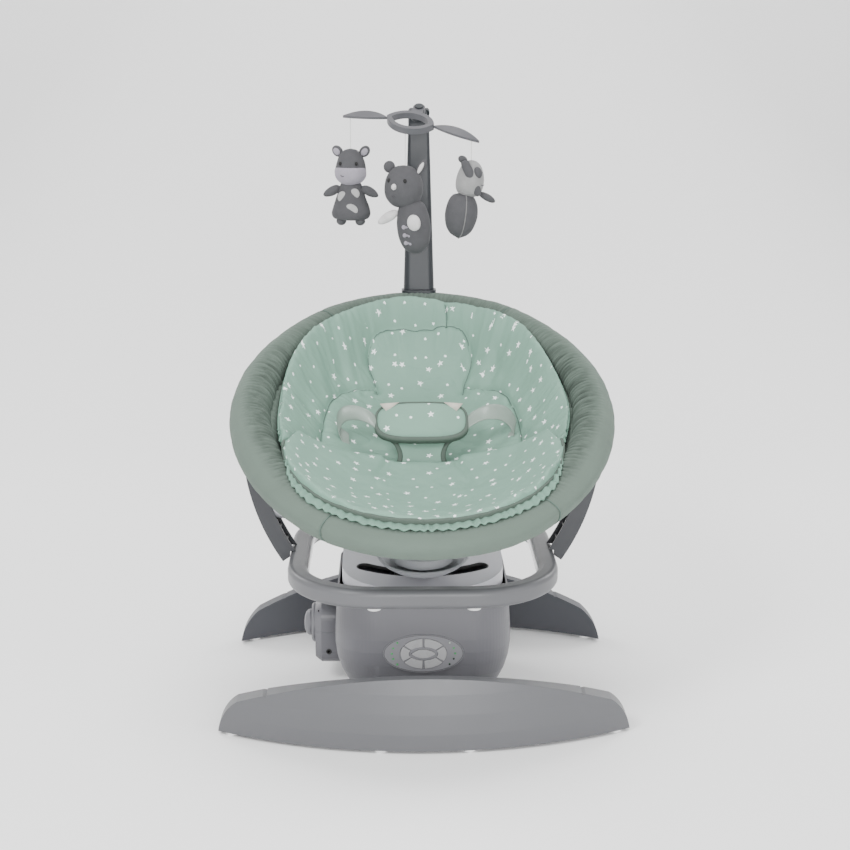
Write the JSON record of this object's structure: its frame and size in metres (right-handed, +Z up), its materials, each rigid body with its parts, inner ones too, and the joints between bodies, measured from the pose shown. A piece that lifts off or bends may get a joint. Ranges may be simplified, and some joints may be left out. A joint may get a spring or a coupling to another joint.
{
  "type": "baby swing",
  "caption": "Powered baby swing: leaf-shaped legs, barrel body with control panel, side-to-side swing arm, reclining oval padded seat and a toy mobile on a post.",
  "frame": {"origin": "on the floor under the middle of the object's bounding box", "axes": "+Z up, front faces -Y, +X to the right when seen from the front"},
  "size_m": [0.6186, 0.7218, 0.9137],
  "materials": {
    "leg_front": "fine moulded grain",
    "leg_rear": "fine moulded grain, darker",
    "pad_rubber": "translucent white rubber",
    "steel_tube": "drawn steel",
    "dark_plastic": "moulded, dark grey",
    "screw_steel": "zinc plated",
    "housing_grey": "satin moulded grey",
    "cap_grey": "satin moulded light grey",
    "gasket_black": "matt black lip",
    "bezel_grey": "satin moulded grey",
    "led_lens": "small green lenses",
    "board_green": "solder-masked board",
    "speaker_black": "paper cone and frame",
    "motor_steel": "drawn can",
    "gear_white": "acetal",
    "arm_black": "black coated",
    "saucer_grey": "satin grey",
    "button_silver": "silver-grey, softly polished",
    "hoop_grey": "satin moulded grey",
    "trim_silver": "pale glossy rim",
    "strut_grey": "moulded, dark slate grey",
    "rim_fabric": "sage woven polyester",
    "sling_fabric": "sage woven polyester",
    "liner_fabric": "mint cotton with small pale stars",
    "webbing": "satin webbing",
    "post_slate": "satin slate",
    "mobile_grey": "satin grey",
    "plush": "short-pile plush"
  },
  "bodies": {
    "base": {"front_leg": "leg_front", "rear_leg": "leg_rear", "floor_pads": "pad_rubber", "cross_tubes": "steel_tube", "tube_clamps": "dark_plastic", "base_screws": "screw_steel", "base_tray": "dark_plastic", "housing_shell": "housing_grey", "top_cap": "cap_grey", "slot_gasket": "gasket_black", "control_bezel": "bezel_grey", "status_leds": "led_lens", "circuit_board": "board_green", "speaker": "speaker_black", "drive_motor": "motor_steel", "gear_frame": "dark_plastic", "shaft_bearings": "motor_steel", "pod_upper_shell": "housing_grey", "pod_lower_shell": "housing_grey", "pod_collar": "housing_grey", "dc_inlet": "gasket_black"},
    "swing": {"sector_gear": "gear_white", "swing_shaft": "motor_steel", "swing_arm": "arm_black", "slot_shield": "gasket_black", "saucer": "saucer_grey"},
    "pinion": {"drive_pinion": "gear_white"},
    "carrier": {"seat_bridge": "saucer_grey", "hoop": "hoop_grey", "hoop_trim": "trim_silver", "hoop_pads": "pad_rubber", "strut_left": "strut_grey", "strut_right": "strut_grey", "pivot_pins": "screw_steel"},
    "seat": {"seat_tube": "steel_tube", "hub_bracket_left": "dark_plastic", "hub_bracket_right": "dark_plastic", "rim_roll": "rim_fabric", "seat_sling": "sling_fabric", "liner_back": "liner_fabric", "liner_front": "liner_fabric", "crotch_pad": "liner_fabric", "strap_left": "webbing", "strap_right": "webbing", "post_socket": "post_slate", "post_stem": "post_slate"},
    "mobile": {"mobile_ring": "mobile_grey", "mobile_leaves": "mobile_grey"},
    "toy_left": {"toy_left": "plush"},
    "toy_middle": {"toy_middle": "plush"},
    "toy_right": {"toy_right": "plush"},
    "knob": {"pod_knob": "housing_grey"},
    "button_centre": {"button_centre": "button_silver"},
    "button_upper_right": {"button_upper_right": "button_silver"},
    "button_upper_left": {"button_upper_left": "button_silver"},
    "button_left": {"button_left": "button_silver"},
    "button_lower_left": {"button_lower_left": "button_silver"},
    "button_lower_right": {"button_lower_right": "button_silver"},
    "button_right": {"button_right": "button_silver"}
  },
  "joints": [
    {"name": "swing_turn", "type": "hinge", "parent": "base", "child": "swing", "pos_m": [0, 0.10223, 0.23533], "axis": [0, -0.1392, 0.9903], "range_deg": [-18, 18]},
    {"name": "pinion_spin", "type": "hinge", "parent": "base", "child": "pinion", "pos_m": [0, 0.03365, 0.22569], "axis": [0, -0.1392, 0.9903], "range_deg": [-125, 125]},
    {"name": "seat_lift", "type": "slide", "parent": "swing", "child": "carrier", "axis": [0, -0.1392, 0.9903], "range_m": [0, 0.05]},
    {"name": "recline", "type": "hinge", "parent": "carrier", "child": "seat", "pos_m": [0, 0, 0.385], "axis": [1, 0, 0], "range_deg": [-12, 8]},
    {"name": "mobile_turn", "type": "hinge", "parent": "seat", "child": "mobile", "pos_m": [0, 0.29885, 0.893], "axis": [0, -0.4695, 0.8829], "range_deg": [-20, 45]},
    {"name": "toy_left_swing", "type": "hinge", "parent": "mobile", "child": "toy_left", "pos_m": [-0.1156, 0.29414, 0.89174], "axis": [1, 0, 0], "range_deg": [-18, 18]},
    {"name": "toy_middle_swing", "type": "hinge", "parent": "mobile", "child": "toy_middle", "pos_m": [-0.0236, 0.23902, 0.86742], "axis": [1, 0, 0], "range_deg": [-18, 18]},
    {"name": "toy_right_swing", "type": "hinge", "parent": "mobile", "child": "toy_right", "pos_m": [0.0855, 0.22951, 0.85738], "axis": [1, 0, 0], "range_deg": [-18, 18]},
    {"name": "button_centre_press", "type": "slide", "parent": "base", "child": "button_centre", "axis": [0, 1, 0], "range_m": [0, 0.001], "stiffness_N_per_m": 400},
    {"name": "button_upper_right_press", "type": "slide", "parent": "base", "child": "button_upper_right", "axis": [0, 1, 0], "range_m": [0, 0.001], "stiffness_N_per_m": 400},
    {"name": "button_upper_left_press", "type": "slide", "parent": "base", "child": "button_upper_left", "axis": [0, 1, 0], "range_m": [0, 0.001], "stiffness_N_per_m": 400},
    {"name": "button_left_press", "type": "slide", "parent": "base", "child": "button_left", "axis": [0, 1, 0], "range_m": [0, 0.001], "stiffness_N_per_m": 400},
    {"name": "button_lower_left_press", "type": "slide", "parent": "base", "child": "button_lower_left", "axis": [0, 1, 0], "range_m": [0, 0.001], "stiffness_N_per_m": 400},
    {"name": "button_lower_right_press", "type": "slide", "parent": "base", "child": "button_lower_right", "axis": [0, 1, 0], "range_m": [0, 0.001], "stiffness_N_per_m": 400},
    {"name": "button_right_press", "type": "slide", "parent": "base", "child": "button_right", "axis": [0, 1, 0], "range_m": [0, 0.001], "stiffness_N_per_m": 400},
    {"name": "knob_turn", "type": "hinge", "parent": "base", "child": "knob", "pos_m": [-0.1785, 0.03, 0.092], "axis": [-1, 0, 0], "range_deg": [0, 90]}
  ],
  "couplings": [
    {"joint": "pinion_spin", "follows": "swing_turn", "ratio": -6.6667}
  ]
}
